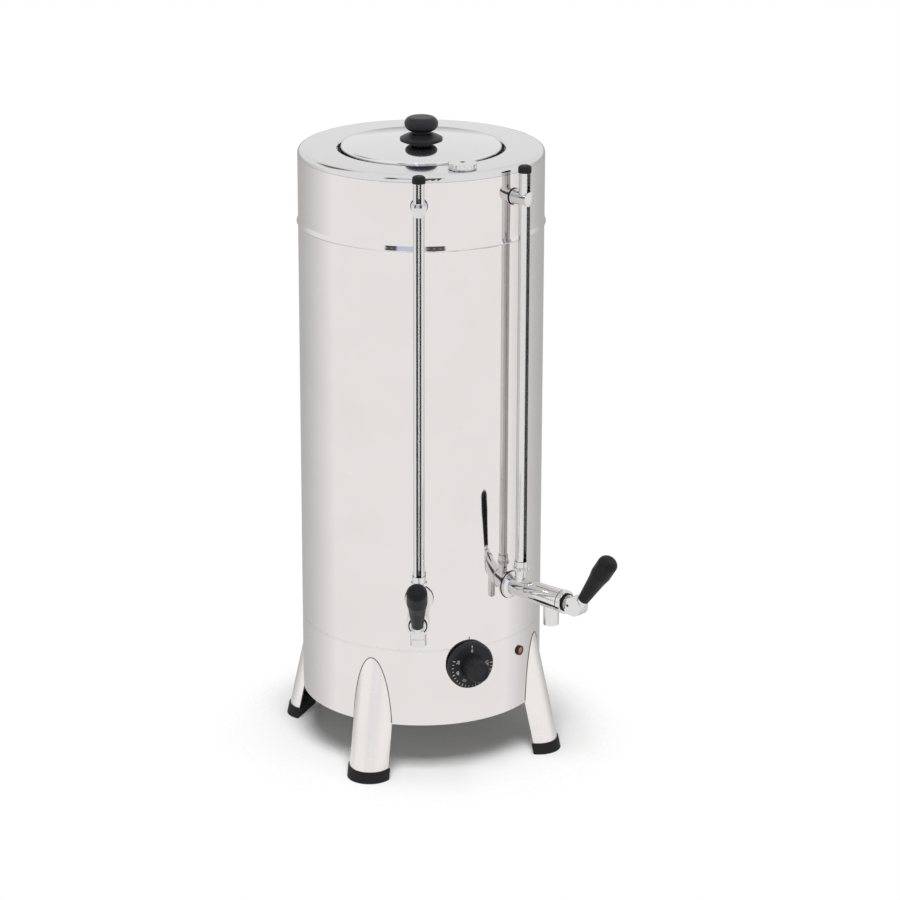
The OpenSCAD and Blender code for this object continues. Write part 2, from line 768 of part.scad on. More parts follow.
// Turned black knob: a domed foot hollowed to sit on the lid, a waist and a flattened ball.
module lid_knob() {
    knob_r = knob_foot_d / 2;
    dome = knob_foot_h - knob_rim_h;
    dome_r = (pow(knob_r, 2) + pow(dome, 2)) / (2 * dome);
    ball_edge = knob_ball_h / 2;
    ball_z = knob_foot_h + knob_waist_h;
    color("#1c1c1e") translate([0, 0, lid_top]) rotate_extrude() difference() {
        union() {
            translate([0, -knob_rim_h]) square([knob_r, 2 * knob_rim_h]);
            intersection() {
                translate([0, knob_foot_h - dome_r]) circle(r = dome_r);
                square([knob_r, knob_foot_h]);
            }
            square([knob_waist_d / 2, ball_z + ball_edge]);
            translate([knob_ball_d / 2 - ball_edge, ball_z + ball_edge]) circle(r = ball_edge);
            translate([0, ball_z]) square([knob_ball_d / 2 - ball_edge, knob_ball_h]);
        }
        translate([0, -lid_curve_r]) circle(r = lid_curve_r + lap_gap, $fn = 720);
        translate([0, -2 * knob_rim_h])
            square([knob_screw_d / 2 + lap_gap, knob_screw_in + 4 * knob_rim_h]);
    }
}

// Screw from below the lid into the knob.
module lid_screw() {
    color("silver") translate([0, 0, lid_top - sheet - lap_gap]) {
        cylinder(h = knob_screw_in + sheet, d = knob_screw_d);
        translate([0, 0, -knob_screw_head])
            cylinder(h = knob_screw_head, d1 = 1.6 * knob_screw_d, d2 = 2 * knob_screw_d);
    }
}

// Nuts inside the drum that hold the two taps and the two gauge posts.
module lock_nuts() {
    tap_flats = 1.5 * tail_d;
    post_flats = 1.625 * post_tail_d;
    tap_nut_t = 7;
    post_nut_t = 5;
    tap_face = sqrt(pow(drum_in, 2) - pow(tap_flats / 2, 2)) - lift_gap;
    post_face = sqrt(pow(drum_in, 2) - pow(post_flats / 2, 2)) - lift_gap;
    color("peru") for (side = [-1, 1]) {
        radial(side * tap_phi, tap_z)
            hex_nut(tap_face - tap_nut_t, tap_face, tap_flats, tail_d + 2 * hole_gap);
        radial(side * tap_phi, post_z)
            hex_nut(post_face - post_nut_t, post_face, post_flats, post_tail_d + 2 * hole_gap);
    }
}

// Section of a leg: an arc of tube, open towards the drum.
module leg_2d(grow) {
    difference() {
        circle(r = leg_r + grow);
        circle(r = leg_r - leg_wall - grow);
        rotate(leg_arc) translate([-2 * leg_d, 0]) square([4 * leg_d, 2 * leg_d]);
        rotate(-leg_arc) translate([-2 * leg_d, -2 * leg_d]) square([4 * leg_d, 2 * leg_d]);
    }
}

// Leans its children out from the drum, with the origin on the floor.
module leaning(phi) {
    radial(phi) translate([leg_axis_r, 0, 0]) rotate([0, -leg_lean, 0]) children();
}

// Leg: a leaning channel, cut where it meets the drum.
module leg(phi) {
    color("gainsboro") difference() {
        intersection() {
            leaning(phi) translate([0, 0, -leg_r]) linear_extrude(height = drum_h / 2) leg_2d(0);
            translate([0, 0, sole_t]) cylinder(h = seam_z + skirt_h, r = 2 * drum_r);
        }
        translate([0, 0, ground_gap - lap_gap]) cylinder(h = drum_h, r = drum_r + lap_gap);
    }
}

// Rubber foot: a half-round cup pushed over the end of the leg.
module foot(phi) {
    back = (leg_r - leg_wall) * cos(leg_arc) - foot_wall;
    color("#19191b") difference() {
        intersection() {
            leaning(phi) translate([0, 0, -leg_r]) linear_extrude(height = 2 * leg_d) intersection() {
                circle(r = foot_r);
                translate([back, -foot_r]) square(2 * foot_r);
            }
            cylinder(h = foot_h, r = 2 * drum_r);
        }
        intersection() {
            leaning(phi) translate([0, 0, -leg_r]) linear_extrude(height = 2 * leg_d) leg_2d(lap_gap);
            translate([0, 0, sole_t]) cylinder(h = 2 * foot_h, r = 2 * drum_r);
        }
    }
}

// Flange between the tap and the wall, its back cut to the curve of the drum.
module tap_flange(phi) {
    rim = flange_t * 0.55;
    color("silver") difference() {
        radial(phi, tap_z) difference() {
            union() {
                bar(drum_r - 3, drum_r + rim, flange_d);
                taper(drum_r + rim, barrel_x0, flange_d - 1.5, barrel_d + 1);
            }
            bar(drum_r - 4, barrel_x0 + eps, tail_d + 2 * hole_gap);
        }
        drum_core(drum_r + lap_gap);
    }
}

// Body of a tap: threaded tail, barrel with its valve chamber, tee for the gauge, and spout.
module tap_body(phi) {
    color("silver") radial(phi, tap_z) difference() {
        union() {
            bar(tail_x, barrel_x0 + eps, tail_d);
            bar(barrel_x0, barrel_x1, barrel_d);
            translate([gauge_r, 0, 0]) cylinder(h = tee_h, d = tee_d);
            translate([spout_x, 0, -spout_drop]) cylinder(h = spout_drop, d = spout_d);
        }
        bar(tail_x - eps, seat_x + eps, inlet_d);
        bar(seat_x, barrel_x1 + eps, chamber_d);
        translate([gauge_r, 0, 0]) cylinder(h = tee_h + eps, d = glass_d - 2 * glass_wall);
        translate([gauge_r, 0, tee_h - glass_seat])
            cylinder(h = glass_seat + eps, d = glass_d + 2 * hole_gap);
        translate([spout_x, 0, -spout_drop - eps]) cylinder(h = spout_drop + eps, d = spout_bore);
    }
}

// Bonnet that closes the barrel, guides the stem and seats the spring.
module bonnet(phi) {
    groove = 1.2;
    color("silver") radial(phi, tap_z) difference() {
        union() {
            bar(barrel_x1 - spigot_l, barrel_x1 + eps, chamber_d - 2 * lap_gap);
            bar(barrel_x1, barrel_x1 + bonnet_l * 0.6, bonnet_d);
            taper(barrel_x1 + bonnet_l * 0.6, barrel_x1 + bonnet_l * 0.6 + groove, bonnet_d, bonnet_d - 3);
            bar(barrel_x1 + bonnet_l * 0.6, barrel_x1 + bonnet_l, bonnet_d - 3);
            bar(barrel_x1 + bonnet_l - eps, bonnet_x1, bonnet_neck_d);
        }
        bar(barrel_x1 - spigot_l - eps, bonnet_x1 + eps, stem_d + 2 * run_gap);
    }
}

// Plunger: a head with a spigot for the seal, and a stem that ends in a flat tongue.
module plunger(phi) {
    spigot = stem_d * 0.6;
    end_x = pin_x + stem_d / 2;
    tongue_x = bonnet_x1 - lift - lift_gap;
    color("peru") radial(phi, tap_z) difference() {
        union() {
            bar(seat_x - 1, head_x + eps, spigot);
            bar(head_x, head_x + plunger_t, plunger_d);
            bar(head_x, end_x - stem_d / 2, stem_d);
            intersection() {
                bar(head_x, end_x, stem_d);
                translate([pin_x, 0, 0]) rotate([90, 0, 0]) cylinder(h = stem_d, d = stem_d, center = true);
            }
        }
        for (side = [0, 1])
            mirror([0, side, 0]) translate([tongue_x, tongue_t / 2, -stem_d])
                cube([2 * stem_d + pin_out, stem_d, 2 * stem_d]);
        translate([pin_x, 0, 0]) rotate([90, 0, 0])
            cylinder(h = 2 * stem_d, d = pin_d + 2 * press_gap, center = true);
    }
}

// Rubber disc on the plunger's spigot that closes the seat.
module seat_seal(phi) {
    color("#303030") radial(phi, tap_z) difference() {
        bar(seat_x, head_x, plunger_d);
        bar(seat_x - eps, head_x + eps, stem_d * 0.6 + 2 * lap_gap);
    }
}

// Points of one ring of the spring's wire, at turn angle a.
function spring_ring(a, x) = [
    for (j = [0 : spring_sides - 1])
        let (b = j * 360 / spring_sides, r = spring_r + wire_d / 2 * cos(b))
            [x + wire_d / 2 * sin(b), r * cos(a), r * sin(a)]
];

// Return spring: one wire wound from the plunger's head to the bonnet.
module spring(phi) {
    steps = spring_turns * spring_rings;
    run = spring_x1 - spring_x0 - wire_d;
    rings = [
        for (i = [0 : steps])
            spring_ring(i * 360 / spring_rings, spring_x0 + wire_d / 2 + run * i / steps)
    ];
    points = [for (ring = rings) each ring];
    last = steps * spring_sides;
    sides = [
        for (i = [0 : steps - 1], j = [0 : spring_sides - 1])
            let (k = (j + 1) % spring_sides, p = i * spring_sides, q = p + spring_sides)
                each [[p + j, p + k, q + k], [p + j, q + k, q + j]]
    ];
    ends = [
        for (j = [1 : spring_sides - 2])
            each [[0, j + 1, j], [last, last + j, last + j + 1]]
    ];
    color("dimgray") radial(phi, tap_z) polyhedron(points = points, faces = concat(sides, ends));
}

// Pivot pin, pressed through the tongue of the stem.
module lever_pin(phi) {
    color("silver") radial(phi, tap_z) translate([pin_x, 0, 0]) rotate([90, 0, 0])
        cylinder(h = head_w - 2 * lift_gap, d = pin_d, center = true);
}

// Cam curve of the lever's head: its distance from the pin grows evenly with the pull.
function cam_point(a) =
    let (h = cam_start + lift_rate * a * PI / 180)
        [-h * cos(a) + lift_rate * sin(a), -h * sin(a) - lift_rate * cos(a)];

// Outline of the lever's head round the pin, with the cam towards the bonnet.
module head_2d() {
    cam_steps = 11;
    translate([head_out, 0]) circle(r = head_r);
    polygon(concat(
        [[head_out, head_r * 0.6], [-cam_start, head_r * 0.35]],
        [for (i = [0 : cam_steps]) cam_point(i * pull / cam_steps)],
        [[head_out, -head_r]]
    ));
}

// Slot in the head that lets the tongue swing through the lever's travel.
module slot_2d() {
    half = stem_d / 2 + lift_gap;
    reach = 2 * head_r;
    far = [half * sin(pull), -half * cos(pull)];
    way = [-reach * cos(pull), -reach * sin(pull)];
    circle(r = half + lift_gap);
    polygon([[-reach, half], [0, half], far, far + way, [-2 * reach, -reach]]);
}

// Lever head: a thick disc with a cam edge, slotted for the stem, with a boss and stud for the handle.
module lever_head(phi) {
    color("silver") radial(phi, tap_z) translate([pin_x, 0, 0]) difference() {
        union() {
            rotate([90, 0, 0]) linear_extrude(height = head_w, center = true) head_2d();
            translate([handle_out, 0, 0]) rotate([0, -handle_tilt, 0]) {
                bar(0, handle_start, handle_neck_d);
                bar(0, handle_start + stud_l, stud_d);
            }
        }
        rotate([90, 0, 0]) linear_extrude(height = tongue_t + 2 * tongue_gap, center = true) slot_2d();
        rotate([90, 0, 0]) cylinder(h = 2 * head_w, d = pin_d + 2 * run_gap, center = true);
    }
}

// Moulded handle: a tapered grip that swells into a bulb with a rounded end, screwed on the lever's stud.
module handle(phi) {
    bulb_r = handle_bulb_d / 2;
    neck_r = handle_neck_d / 2;
    edge = bulb_r * 0.68;
    swell = grip_l + bulb_r;
    color("#1c1c1e") radial(phi, tap_z) translate([pin_x + handle_out, 0, 0])
        rotate([0, 90 - handle_tilt, 0]) translate([0, 0, handle_start]) rotate_extrude() difference() {
            union() {
                polygon([
                    [0, 0], [neck_r - 0.6, 0], [neck_r, 0.6], [grip_end_d / 2, grip_l],
                    [bulb_r, swell], [bulb_r, handle_l - edge], [0, handle_l - edge]
                ]);
                translate([0, handle_l - edge - eps]) square([bulb_r - edge, edge + eps]);
                translate([bulb_r - edge, handle_l - edge]) quarter_2d(edge);
            }
            translate([0, -eps]) square([stud_d / 2 + lap_gap, stud_l + 1 + eps]);
        }
}

// Slotted guard tube of a gauge, the slot facing away from the drum.
module guard_tube(phi) {
    foot_z = tee_top + nut_ledge;
    color("silver") radial(phi) translate([gauge_r, 0, 0]) difference() {
        translate([0, 0, foot_z]) cylinder(h = guard_top - foot_z, d = guard_d);
        translate([0, 0, foot_z - eps])
            cylinder(h = guard_top - foot_z + 2 * eps, d = guard_d - 2 * guard_wall);
        translate([0, -slot_w / 2, tee_top + nut_h - 2])
            cube([guard_d, slot_w, guard_top - tee_top - nut_h - cap_h + 6]);
    }
}

// Glass of a gauge, standing in the tee.
module glass(phi) {
    foot_z = tee_top - glass_seat;
    color("lightcyan", 0.5) radial(phi) translate([gauge_r, 0, foot_z]) difference() {
        cylinder(h = guard_top - 1 - foot_z, d = glass_d);
        translate([0, 0, -eps]) cylinder(h = guard_top - foot_z, d = glass_d - 2 * glass_wall);
    }
}

// Rubber cap pushed over the top of the guard tube.
module gauge_cap(phi) {
    color("#19191b") radial(phi) translate([gauge_r, 0, 0]) rotate_extrude() difference() {
        crown_2d(cap_d / 2, gauge_top - cap_h, gauge_top, cap_roll);
        translate([0, gauge_top - cap_h - eps])
            square([guard_d / 2 + hole_gap, guard_top - gauge_top + cap_h + eps]);
    }
}

// Collar nut that clamps the guard tube and the glass to the tee.
module collar_nut(phi) {
    rim_h = nut_h * 0.35;
    color("silver") radial(phi, tee_top) translate([gauge_r, 0, 0]) difference() {
        union() {
            cylinder(h = rim_h, d = nut_d);
            cylinder(h = nut_h, d = nut_d - 1.8);
        }
        translate([0, 0, -eps]) cylinder(h = nut_h + 2 * eps, d = glass_d + 2 * hole_gap);
        translate([0, 0, nut_ledge]) cylinder(h = nut_h, d = guard_d + 2 * hole_gap);
    }
}

// Support post from the wall to the top of a gauge, bored for the guard tube.
module post(phi) {
    color("silver") difference() {
        radial(phi, post_z) {
            bar(drum_r - 2, drum_r + post_foot_t, post_d + 1.6);
            domed_bar(drum_r, post_x, post_d, post_dome);
        }
        difference() {
            drum_core(drum_r + lap_gap);
            radial(phi, post_z) bar(0, drum_r + 2, post_tail_d + eps / 10);
        }
        radial(phi, post_z) translate([gauge_r, 0, 0])
            cylinder(h = 2 * post_d, d = guard_d + 2 * hole_gap, center = true);
    }
    color("silver") radial(phi, post_z) bar(drum_r - post_tail_l, drum_r + 1, post_tail_d);
}

base_skirt();
base_plate();
base_screws();
tank_floor();
outer_shell();
top_collar();
deck_ring();
coffee_pot();
coffee_outlet_pipe();
heating_element();
gland_nuts();
thermostat_body();
thermostat_bulb();
dial_shaft();
dial();
pilot_bezel();
pilot_lens();
cord_gland();
filler_neck();
filler_cap();
lid();
lid_knob();
lid_screw();
lock_nuts();
leg(-leg_phi);  // leg_front_left
leg(leg_phi);  // leg_front_right
leg(180 + leg_back_phi);  // leg_back_left
leg(180 - leg_back_phi);  // leg_back_right
foot(-leg_phi);  // foot_front_left
foot(leg_phi);  // foot_front_right
foot(180 + leg_back_phi);  // foot_back_left
foot(180 - leg_back_phi);  // foot_back_right
tap_flange(-tap_phi);  // left_tap_flange
tap_body(-tap_phi);  // left_tap_body
bonnet(-tap_phi);  // left_bonnet
plunger(-tap_phi);  // left_plunger
seat_seal(-tap_phi);  // left_seat_seal
spring(-tap_phi);  // left_spring
lever_pin(-tap_phi);  // left_lever_pin
lever_head(-tap_phi);  // left_lever_head
handle(-tap_phi);  // left_handle
tap_flange(tap_phi);  // right_tap_flange
tap_body(tap_phi);  // right_tap_body
bonnet(tap_phi);  // right_bonnet
plunger(tap_phi);  // right_plunger
seat_seal(tap_phi);  // right_seat_seal
spring(tap_phi);  // right_spring
lever_pin(tap_phi);  // right_lever_pin
lever_head(tap_phi);  // right_lever_head
handle(tap_phi);  // right_handle
guard_tube(-tap_phi);  // left_guard_tube
glass(-tap_phi);  // left_glass
gauge_cap(-tap_phi);  // left_gauge_cap
collar_nut(-tap_phi);  // left_collar_nut
post(-tap_phi);  // left_post
guard_tube(tap_phi);  // right_guard_tube
glass(tap_phi);  // right_glass
gauge_cap(tap_phi);  // right_gauge_cap
collar_nut(tap_phi);  // right_collar_nut
post(tap_phi);  // right_post
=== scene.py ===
import math

import bmesh
import bpy
from mathutils import Matrix, Vector


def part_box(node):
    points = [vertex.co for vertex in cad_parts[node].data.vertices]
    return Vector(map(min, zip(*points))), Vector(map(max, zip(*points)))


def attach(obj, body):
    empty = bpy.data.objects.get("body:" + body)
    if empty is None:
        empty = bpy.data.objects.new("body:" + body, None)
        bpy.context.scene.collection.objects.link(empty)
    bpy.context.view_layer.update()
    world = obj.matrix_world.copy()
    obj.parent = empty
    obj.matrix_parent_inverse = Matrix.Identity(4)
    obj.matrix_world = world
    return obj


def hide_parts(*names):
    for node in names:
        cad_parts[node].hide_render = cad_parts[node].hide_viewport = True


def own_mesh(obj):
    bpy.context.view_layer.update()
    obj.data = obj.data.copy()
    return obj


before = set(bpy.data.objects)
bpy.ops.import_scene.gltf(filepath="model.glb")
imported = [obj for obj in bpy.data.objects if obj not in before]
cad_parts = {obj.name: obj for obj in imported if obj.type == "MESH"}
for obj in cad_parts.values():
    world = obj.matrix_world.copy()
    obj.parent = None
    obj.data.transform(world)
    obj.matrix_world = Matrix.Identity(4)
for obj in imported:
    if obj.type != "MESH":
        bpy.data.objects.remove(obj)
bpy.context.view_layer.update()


# The drum: skirt, shell and collar are rolled from stainless sheet, welded up the back and lapped into
# each other. All of it is polished to a mirror on a mop, which leaves very fine lines round the drum and
# a slight waviness in the sheet.
def add_node(tree, kind, inputs=None, **settings):
    """Adds a shader node; inputs are values or sockets by name or number."""
    node = tree.nodes.new("ShaderNode" + kind)
    for name, value in settings.items():
        setattr(node, name, value)
    for name, value in (inputs or {}).items():
        if isinstance(value, bpy.types.NodeSocket):
            tree.links.new(value, node.inputs[name])
        else:
            node.inputs[name].default_value = value
    return node


def start_group(name, inputs, outputs):
    """Starts a shader node group with named sockets; returns its tree, its inputs and its output node."""
    tree = bpy.data.node_groups.new(name, "ShaderNodeTree")
    for label, kind in inputs:
        tree.interface.new_socket(label, in_out="INPUT", socket_type="NodeSocket" + kind)
    for label, kind in outputs:
        tree.interface.new_socket(label, in_out="OUTPUT", socket_type="NodeSocket" + kind)
    given = tree.nodes.new("NodeGroupInput").outputs
    result = tree.nodes.new("NodeGroupOutput")
    return tree, given, result


def shade(tree, dark, light, by):
    """Mixes two colours by a mask."""
    mix = add_node(tree, "Mix", {0: by, 6: dark, 7: light}, data_type="RGBA")
    return mix.outputs[2]


def span(tree, value, low, high, to_low=0.0, to_high=1.0):
    """Maps a value from one range to another, held at both ends."""
    ends = {"Value": value, "From Min": low, "From Max": high, "To Min": to_low, "To Max": to_high}
    return add_node(tree, "MapRange", ends).outputs["Result"]


def math_node(tree, operation, first, second):
    """One operation on two values."""
    return add_node(tree, "Math", {0: first, 1: second}, operation=operation).outputs[0]


def build_polish_marks():
    """Lines left by the mop, smears left by hands, and the waves of thin sheet."""
    tree, given, result = start_group(
        "polish_marks",
        [("Colour", "Color"), ("Smear Colour", "Color"), ("Stretch", "Vector"), ("Roughness", "Float"),
         ("Spread", "Float"), ("Line Depth", "Float"), ("Wave Size", "Float")],
        [("Colour", "Color"), ("Roughness", "Float"), ("Height", "Float")])
    line_share = 0.5
    place = add_node(tree, "TexCoord").outputs["Object"]
    stretched = add_node(tree, "Mapping", {"Vector": place, "Scale": given["Stretch"]}).outputs[0]
    lines = add_node(tree, "TexNoise", {"Vector": stretched, "Scale": 1.0, "Detail": 5.0}).outputs["Fac"]
    smears = add_node(tree, "TexNoise", {"Vector": place, "Scale": 14.0, "Detail": 6.0,
                                         "Distortion": 0.6}).outputs["Fac"]
    waves = add_node(tree, "TexNoise", {"Vector": place, "Scale": given["Wave Size"],
                                        "Detail": 1.0}).outputs["Fac"]
    smear_mask = span(tree, smears, low=0.45, high=0.75)
    both = math_node(tree, "ADD", math_node(tree, "MULTIPLY", lines, line_share), smear_mask)
    extra = math_node(tree, "MULTIPLY", both, given["Spread"])
    rough = math_node(tree, "ADD", extra, given["Roughness"])
    height = math_node(tree, "ADD", waves, math_node(tree, "MULTIPLY", lines, given["Line Depth"]))
    tree.links.new(shade(tree, given["Colour"], given["Smear Colour"], smear_mask), result.inputs["Colour"])
    tree.links.new(rough, result.inputs["Roughness"])
    tree.links.new(height, result.inputs["Height"])
    return tree


polish_marks = build_polish_marks()


def start_material(name):
    """A new material with its bare Principled shader; returns the material, its tree and the shader."""
    material = bpy.data.materials.new(name)
    material.use_nodes = True
    tree = material.node_tree
    return material, tree, tree.nodes["Principled BSDF"]


def metal(name, colour, smear, stretch, roughness, spread, line_depth, wave_size, wave_height):
    """Bare or plated metal with polish or draw lines."""
    material, tree, shader = start_material(name)
    marks = add_node(tree, "Group", {
        "Colour": (*colour, 1), "Smear Colour": (*smear, 1), "Stretch": stretch, "Roughness": roughness,
        "Spread": spread, "Line Depth": line_depth, "Wave Size": wave_size}, node_tree=polish_marks)
    bump = add_node(tree, "Bump", {"Height": marks.outputs["Height"], "Distance": wave_height,
                                   "Strength": 1.0})
    shader.inputs["Metallic"].default_value = 1.0
    tree.links.new(marks.outputs["Colour"], shader.inputs["Base Color"])
    tree.links.new(marks.outputs["Roughness"], shader.inputs["Roughness"])
    tree.links.new(bump.outputs["Normal"], shader.inputs["Normal"])
    return material


def dress(material, *nodes):
    """Gives CAD nodes their finish."""
    for node in nodes:
        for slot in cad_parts[node].material_slots:
            slot.material = material


polished_steel = metal("polished_steel", colour=(0.735, 0.712, 0.702), smear=(0.715, 0.692, 0.682),
                       stretch=(30, 30, 800), roughness=0.035, spread=0.035, line_depth=0.015,
                       wave_size=7.0, wave_height=0.00012)
dress(polished_steel, "base_skirt", "outer_shell", "top_collar")


# The deck is a ring spun from the same sheet, rolled down over the collar and into the mouth. It is
# crowned very slightly, so that drips run off it, and its flat is polished round and round.
deck_fall = 0.028
crown_in_r = 0.090
crown_out_r = 0.124
deck_steel = metal("deck_steel", colour=(0.675, 0.668, 0.678), smear=(0.655, 0.648, 0.658),
                   stretch=(700, 700, 60), roughness=0.045, spread=0.04, line_depth=0.015,
                   wave_size=7.0, wave_height=0.0001)
tree = deck_steel.node_tree
place = add_node(tree, "TexCoord").outputs["Object"]
flat_place = add_node(tree, "VectorMath", {0: place, 1: (1, 1, 0)}, operation="MULTIPLY").outputs["Vector"]
from_axis = add_node(tree, "VectorMath", {0: flat_place}, operation="LENGTH").outputs["Value"]
over_crown = span(tree, from_axis, crown_in_r, crown_out_r, 0.0, crown_out_r - crown_in_r)
crown = math_node(tree, "MULTIPLY", over_crown, -deck_fall)
crowned = add_node(tree, "Bump", {"Height": crown, "Distance": 1.0, "Strength": 1.0})
marks_bump = next(node for node in tree.nodes if node.type == "BUMP" and node != crowned)
tree.links.new(crowned.outputs["Normal"], marks_bump.inputs["Normal"])
dress(deck_steel, "deck_ring")


# The weld up the back of the drum: the rolled sheets meet edge to edge and are fused in one pass,
# then ground nearly flush, which leaves a low rounded ridge of the same steel on each sheet.
drum_r = 0.130
weld_w = 0.0026
weld_up = 0.0001
weld_thick = 0.0004
weld_ends = (("skirt", 0.0615, 0.1430), ("shell", 0.1450, 0.5815), ("collar", 0.5890, 0.6540))


def keep(name, mesh, material, body):
    """Turns a bmesh into a finished piece that rides on a body."""
    bmesh.ops.remove_doubles(mesh, verts=mesh.verts, dist=1e-7)
    bmesh.ops.recalc_face_normals(mesh, faces=mesh.faces)
    data = bpy.data.meshes.new(name)
    mesh.to_mesh(data)
    mesh.free()
    data.materials.append(material)
    piece = bpy.data.objects.new(name, data)
    bpy.context.scene.collection.objects.link(piece)
    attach(piece, body)
    return piece


def smooth(piece):
    """Shades a piece smooth."""
    for face in piece.data.polygons:
        face.use_smooth = True
    return piece


def creased(piece, angle):
    """Shades a piece smooth but for its sharp edges."""
    smooth(piece)
    mesh = bmesh.new()
    mesh.from_mesh(piece.data)
    for edge in mesh.edges:
        edge.smooth = edge.calc_face_angle(0.0) < math.radians(angle)
    mesh.to_mesh(piece.data)
    mesh.free()
    return piece


for sheet, low, high in weld_ends:
    mesh = bmesh.new()
    bmesh.ops.create_grid(mesh, x_segments=6, y_segments=1, size=0.5)
    bmesh.ops.scale(mesh, vec=(weld_w, high - low, 1), verts=mesh.verts)
    for v in mesh.verts:
        v.co.z = weld_up * (1 - (2 * v.co.x / weld_w) ** 2)
    bmesh.ops.solidify(mesh, geom=mesh.faces, thickness=weld_thick)
    bmesh.ops.rotate(mesh, matrix=Matrix.Rotation(math.radians(90), 3, "X"), verts=mesh.verts)
    bmesh.ops.rotate(mesh, matrix=Matrix.Rotation(math.radians(180), 3, "Z"), verts=mesh.verts)
    bmesh.ops.translate(mesh, vec=(0, drum_r, (low + high) / 2), verts=mesh.verts)
    smooth(keep(sheet + "_weld", mesh, polished_steel, "urn"))


# The joint between skirt and shell is run with solder all the way round and polished back, so that only
# a faint line is left where the two sheets meet.
seam_z = 0.144
solder = ((0.00003, 0.12895), (0.00003, 0.12990), (0.00180, 0.12990))
drum_steps = 256
drum_crease = 30


def turned(mesh, profile, matrix, steps):
    """A ring turned from a closed profile of places along and radii from the matrix's own Z."""
    corners = [mesh.verts.new((radius, 0, along)) for along, radius in profile]
    edges = [mesh.edges.new((corners[i - 1], corners[i])) for i in range(len(corners))]
    bmesh.ops.spin(mesh, geom=corners + edges, cent=(0, 0, 0), axis=(0, 0, 1), angle=math.tau, steps=steps,
                   use_merge=True)
    bmesh.ops.transform(mesh, matrix=matrix, verts=mesh.verts)


mesh = bmesh.new()
turned(mesh, solder, Matrix.Translation((0, 0, seam_z)), drum_steps)
creased(keep("skirt_solder", mesh, polished_steel, "urn"), drum_crease)


# The collar's lower edge is flared over the shell, of one piece with its sheet. Its upper side is one flat
# slope, tall enough to mirror a strip of the room, and it is rolled under at the bottom.
bead_up = 0.0025
bead_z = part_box("top_collar")[0][2] + bead_up
flare = ((0.00360, 0.12995), (-0.00085, 0.13143), (-0.00110, 0.13152), (-0.00140, 0.13135),
         (-0.00290, 0.12995))
mesh = bmesh.new()
turned(mesh, flare, Matrix.Translation((0, 0, bead_z)), drum_steps)
creased(keep("collar_flare", mesh, polished_steel, "urn"), drum_crease)


# Inside the drum: tank floor, coffee pot, its outlet pipe and the filler neck are pressed or bent from
# plain stainless steel, left as it comes from the press, and the base plate closes the skirt.
plain_steel = metal("plain_steel", colour=(0.60, 0.595, 0.59), smear=(0.54, 0.53, 0.52),
                    stretch=(60, 60, 400), roughness=0.22, spread=0.14, line_depth=0.1,
                    wave_size=16.0, wave_height=0.00008)
dress(plain_steel, "tank_floor", "coffee_pot", "coffee_outlet_pipe", "filler_neck", "base_plate")


# The base's screws, the lid's screw and the dial's shaft are turned from mild steel and zinc plated, so
# they are a little blue and dull beside the stainless steel. The lever pins are blackened instead.
zinc_steel = metal("zinc_steel", colour=(0.56, 0.57, 0.59), smear=(0.46, 0.47, 0.48),
                   stretch=(300, 300, 300), roughness=0.28, spread=0.15, line_depth=0.2,
                   wave_size=60.0, wave_height=0.00003)
dress(zinc_steel, "base_screws", "lid_screw", "dial_shaft")
black_steel = metal("black_steel", colour=(0.05, 0.045, 0.04), smear=(0.09, 0.08, 0.07),
                    stretch=(300, 300, 300), roughness=0.34, spread=0.15, line_depth=0.2,
                    wave_size=60.0, wave_height=0.00003)
dress(black_steel, "left_lever_pin", "right_lever_pin")


# The immersion heater is a bent tube of heat-resisting steel, dulled and browned by use. Its glands, the
# lock nuts behind the wall, the thermostat's bulb and the plungers are machined brass.
heater_steel = metal("heater_steel", colour=(0.20, 0.185, 0.17), smear=(0.30, 0.25, 0.20),
                     stretch=(90, 90, 90), roughness=0.45, spread=0.25, line_depth=0.6,
                     wave_size=40.0, wave_height=0.0001)
dress(heater_steel, "heating_element")
brass = metal("brass", colour=(0.72, 0.52, 0.25), smear=(0.55, 0.38, 0.18),
              stretch=(500, 500, 500), roughness=0.24, spread=0.16, line_depth=0.2,
              wave_size=50.0, wave_height=0.00004)
dress(brass, "gland_nuts", "lock_nuts", "thermostat_bulb", "left_plunger", "right_plunger")


# The thermostat's body is pressed from a cream thermoset, and the cord gland at the back of the skirt is
# moulded nylon. Both have the fine dull skin of the mould.
def build_moulded_skin():
    """Fine grain, faint flow marks and dull patches of moulded plastic or rubber."""
    tree, given, result = start_group(
        "moulded_skin",
        [("Colour", "Color"), ("Dust Colour", "Color"), ("Dust", "Float"), ("Grain Size", "Float"),
         ("Roughness", "Float"), ("Spread", "Float")],
        [("Colour", "Color"), ("Roughness", "Float"), ("Height", "Float")])
    grain_share = 0.5
    place = add_node(tree, "TexCoord").outputs["Object"]
    grain = add_node(tree, "TexNoise", {"Vector": place, "Scale": given["Grain Size"],
                                        "Detail": 3.0}).outputs["Fac"]
    patches = add_node(tree, "TexNoise", {"Vector": place, "Scale": 55.0, "Detail": 5.0,
                                          "Distortion": 0.4}).outputs["Fac"]
    dusty = math_node(tree, "MULTIPLY", span(tree, patches, low=0.48, high=0.8), given["Dust"])
    mixed = math_node(tree, "ADD", math_node(tree, "MULTIPLY", grain, grain_share), patches)
    extra = math_node(tree, "MULTIPLY", mixed, given["Spread"])
    tree.links.new(shade(tree, given["Colour"], given["Dust Colour"], dusty), result.inputs["Colour"])
    tree.links.new(math_node(tree, "ADD", extra, given["Roughness"]), result.inputs["Roughness"])
    tree.links.new(grain, result.inputs["Height"])
    return tree


moulded_skin = build_moulded_skin()


